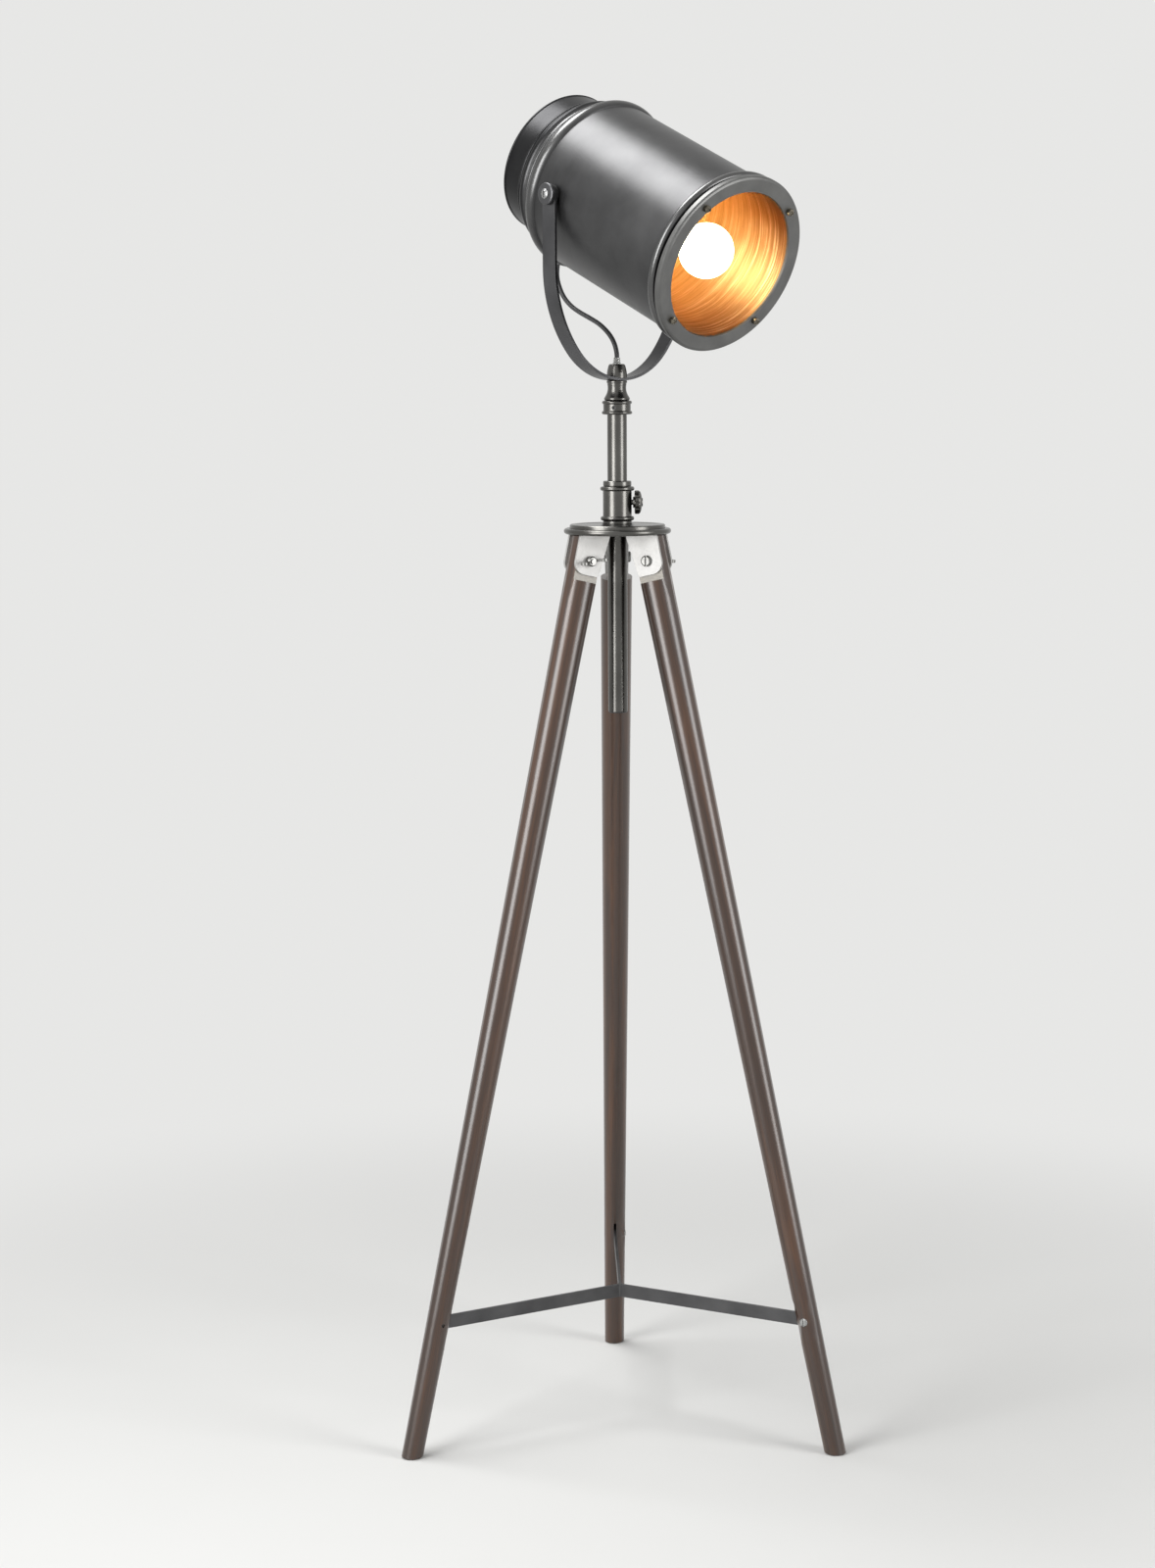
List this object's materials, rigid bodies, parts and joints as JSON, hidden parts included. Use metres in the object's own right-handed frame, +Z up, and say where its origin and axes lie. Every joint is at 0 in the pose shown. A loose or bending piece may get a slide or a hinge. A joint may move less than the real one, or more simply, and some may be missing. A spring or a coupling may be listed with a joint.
{
  "type": "floor lamp",
  "caption": "Tripod spotlight floor lamp: wooden legs under a round metal hub, a sliding mast and a can-shaped head that tilts and turns in a U-shaped yoke.",
  "frame": {"origin": "on the floor, under the mast axis", "axes": "+Z up along the mast; +X to the right and -Y towards the viewer, seen from the pictured side; the rear leg lies along +Y"},
  "size_m": [0.501, 0.4927, 1.5166],
  "materials": {
    "walnut_wood": "dark stained, semi-gloss lacquer",
    "hub_silver": "cast and satin polished",
    "dark_nickel": "polished black nickel",
    "fastener_steel": "bright zinc plated",
    "spreader_steel": "satin grey",
    "mast_nickel": "polished black nickel tube",
    "head_pewter": "spun sheet, satin pewter plating",
    "cap_pewter": "spun sheet, darker satin pewter plating",
    "bezel_pewter": "satin pewter plating",
    "copper": "spun sheet, copper coloured, brushed round",
    "screw_bronze": "dark bronze",
    "brass_thread": "plain turned",
    "black_plastic": "matt black",
    "black_steel": "blackened",
    "black_rubber": "matt black",
    "clear_plastic": "clear, slightly milky",
    "lead_sheath": "black flexible sheath",
    "lamp_glass": "frosted, lit"
  },
  "bodies": {
    "stand": {"leg_1": "walnut_wood", "leg_2": "walnut_wood", "leg_3": "walnut_wood", "leg_hub": "hub_silver", "hub_disc": "dark_nickel", "collar": "dark_nickel", "leg_bolts": "fastener_steel", "spreader": "spreader_steel", "spreader_screws": "fastener_steel"},
    "knob": {"clamp_knob": "dark_nickel"},
    "wing_1": {"wing_nut_1": "fastener_steel"},
    "wing_2": {"wing_nut_2": "fastener_steel"},
    "wing_3": {"wing_nut_3": "fastener_steel"},
    "mast": {"mast_tube": "mast_nickel", "mast_bush": "black_plastic", "swivel_ring": "dark_nickel", "ring_screw": "black_steel"},
    "yoke": {"neck": "dark_nickel", "yoke": "mast_nickel", "neck_tube": "brass_thread", "neck_nut": "brass_thread", "dome_nut": "dark_nickel", "lead_bush": "clear_plastic", "head_lead": "lead_sheath"},
    "head": {"can": "head_pewter", "rear_cap": "cap_pewter", "bezel": "bezel_pewter", "bezel_screws": "screw_bronze", "liner": "copper", "liner_back": "copper", "lamp_holder": "black_plastic", "bulb_cap": "fastener_steel", "bulb_glass": "lamp_glass", "lead_grommet": "black_rubber", "pivot_washers": "black_plastic", "pivot_caps": "dark_nickel", "pivot_screws": "fastener_steel", "pivot_nuts": "fastener_steel"}
  },
  "joints": [
    {"name": "mast_height", "type": "slide", "parent": "stand", "child": "mast", "axis": [0, 0, 1], "range_m": [-0.072, 0.17]},
    {"name": "head_pan", "type": "hinge", "parent": "mast", "child": "yoke", "pos_m": [0, 0, 1.1777], "axis": [0, 0, 1], "range_deg": [-170, 170]},
    {"name": "head_tilt", "type": "hinge", "parent": "yoke", "child": "head", "pos_m": [0, 0, 1.4023], "axis": [-0.7455, -0.6665, 0], "range_deg": [-15, 75], "deforming": ["head_lead"]},
    {"name": "clamp_knob_turn", "type": "hinge", "parent": "stand", "child": "knob", "pos_m": [0.023, 0, 1.064], "axis": [1, 0, 0], "range_deg": [0, 720]},
    {"name": "wing_nut_1_turn", "type": "hinge", "parent": "stand", "child": "wing_1", "pos_m": [0, 0.0442, 1], "axis": [-1, 0, 0], "range_deg": [0, 1080]},
    {"name": "wing_nut_2_turn", "type": "hinge", "parent": "stand", "child": "wing_2", "pos_m": [-0.03828, -0.0221, 1], "axis": [0.5, -0.866, 0], "range_deg": [0, 1080]},
    {"name": "wing_nut_3_turn", "type": "hinge", "parent": "stand", "child": "wing_3", "pos_m": [0.03828, -0.0221, 1], "axis": [0.5, 0.866, 0], "range_deg": [0, 1080]}
  ]
}
